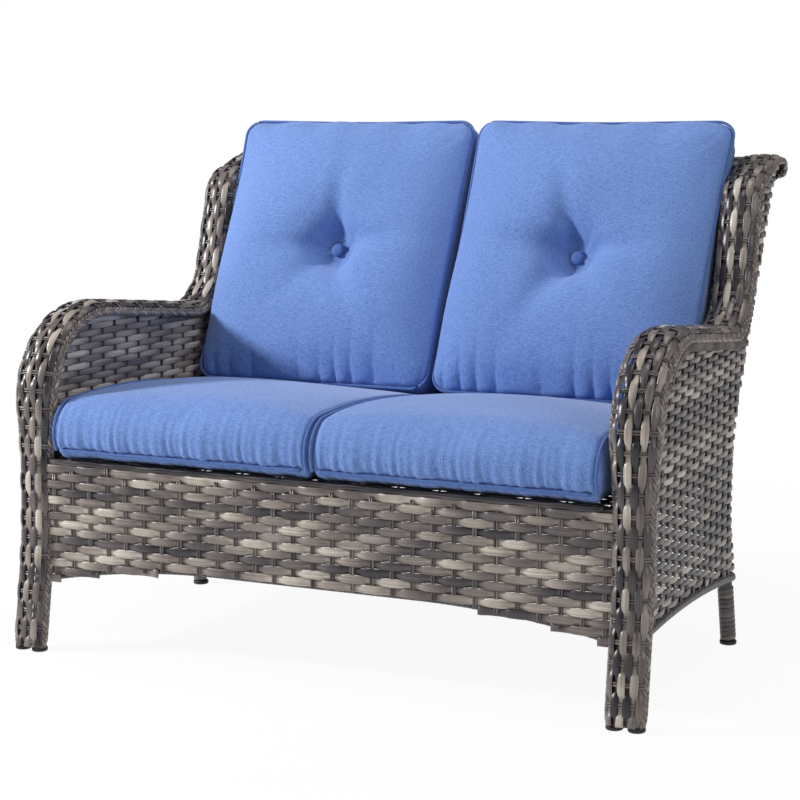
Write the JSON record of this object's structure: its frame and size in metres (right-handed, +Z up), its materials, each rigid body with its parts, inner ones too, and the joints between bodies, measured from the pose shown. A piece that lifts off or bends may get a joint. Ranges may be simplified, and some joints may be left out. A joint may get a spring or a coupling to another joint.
{
  "type": "patio loveseat",
  "caption": "Woven wicker patio loveseat on a steel frame, rolled arms and raked winged back, with loose piped seat cushions and button-tufted boxed back cushions.",
  "frame": {"origin": "on the floor, under the middle of the overall box", "axes": "+X to the right seen from the front, +Y to the back, +Z up; X is the plane of symmetry's normal"},
  "size_m": [1.2674, 0.9014, 0.9837],
  "materials": {
    "frame_steel": "satin powder coat",
    "wicker": "satin flat strands, mixed greys",
    "foot_plastic": "matt",
    "bolt_steel": "zinc plated",
    "cushion_cloth": "plain weave outdoor cloth",
    "piping_cloth": "bias-cut cloth over cord",
    "cushion_foam": "polyurethane foam",
    "zip_tape": "nylon coil",
    "zip_metal": "plated",
    "tuft_thread": "twisted polyester thread"
  },
  "bodies": {
    "frame": {"right_arm_tube_outer": "frame_steel", "left_arm_tube_outer": "frame_steel", "right_arm_tube_inner": "frame_steel", "left_arm_tube_inner": "frame_steel", "right_rear_leg_tube": "frame_steel", "left_rear_leg_tube": "frame_steel", "right_side_hem_rail": "frame_steel", "left_side_hem_rail": "frame_steel", "right_side_seat_rail": "frame_steel", "left_side_seat_rail": "frame_steel", "arm_rungs": "frame_steel", "seat_front_rail": "frame_steel", "seat_rear_rail": "frame_steel", "seat_side_rails": "frame_steel", "seat_cross_bars": "frame_steel", "apron_rail": "frame_steel", "back_top_rail": "frame_steel", "back_lower_rail": "frame_steel", "back_posts": "frame_steel", "right_arm_band": "wicker", "left_arm_band": "wicker", "right_outer_side_weave": "wicker", "left_outer_side_weave": "wicker", "right_inner_side_weave": "wicker", "left_inner_side_weave": "wicker", "right_side_hem_wrap": "wicker", "left_side_hem_wrap": "wicker", "rear_leg_wraps": "wicker", "seat_deck_weave": "wicker", "apron_weave": "wicker", "apron_wrap": "wicker", "back_weave": "wicker", "front_foot_caps": "foot_plastic", "rear_foot_caps": "foot_plastic", "frame_bolts": "bolt_steel", "frame_nuts": "bolt_steel"},
    "right_seat_cushion": {"right_seat_cover": "cushion_cloth", "right_seat_core": "cushion_foam", "right_seat_piping": "piping_cloth", "right_seat_zip": "zip_tape"},
    "right_back_cushion": {"right_back_cover": "cushion_cloth", "right_back_core": "cushion_foam", "right_back_piping": "piping_cloth", "right_back_zip": "zip_tape", "right_tuft_cord": "tuft_thread", "right_back_buttons": "cushion_cloth"},
    "right_seat_slider": {"right_seat_zip_slider": "zip_metal"},
    "right_back_slider": {"right_back_zip_slider": "zip_metal"},
    "left_seat_cushion": {"left_seat_cover": "cushion_cloth", "left_seat_core": "cushion_foam", "left_seat_piping": "piping_cloth", "left_seat_zip": "zip_tape"},
    "left_back_cushion": {"left_back_cover": "cushion_cloth", "left_back_core": "cushion_foam", "left_back_piping": "piping_cloth", "left_back_zip": "zip_tape", "left_tuft_cord": "tuft_thread", "left_back_buttons": "cushion_cloth"},
    "left_seat_slider": {"left_seat_zip_slider": "zip_metal"},
    "left_back_slider": {"left_back_zip_slider": "zip_metal"}
  },
  "joints": [
    {"name": "right_seat_cushion_slide", "type": "slide", "parent": "frame", "child": "right_seat_cushion", "axis": [0, -1, 0], "range_m": [0, 0.6]},
    {"name": "right_back_cushion_slide", "type": "slide", "parent": "frame", "child": "right_back_cushion", "axis": [0, 0.4327, 0.9015], "range_m": [0, 0.5]},
    {"name": "right_seat_zip_slide", "type": "slide", "parent": "right_seat_cushion", "child": "right_seat_slider", "axis": [-1, 0, 0], "range_m": [0, 0.424]},
    {"name": "right_back_zip_slide", "type": "slide", "parent": "right_back_cushion", "child": "right_back_slider", "axis": [1, 0, 0], "range_m": [0, 0.424]},
    {"name": "left_seat_cushion_slide", "type": "slide", "parent": "frame", "child": "left_seat_cushion", "axis": [0, -1, 0], "range_m": [0, 0.6]},
    {"name": "left_back_cushion_slide", "type": "slide", "parent": "frame", "child": "left_back_cushion", "axis": [0, 0.4327, 0.9015], "range_m": [0, 0.5]},
    {"name": "left_seat_zip_slide", "type": "slide", "parent": "left_seat_cushion", "child": "left_seat_slider", "axis": [1, 0, 0], "range_m": [0, 0.424]},
    {"name": "left_back_zip_slide", "type": "slide", "parent": "left_back_cushion", "child": "left_back_slider", "axis": [-1, 0, 0], "range_m": [0, 0.424]}
  ]
}
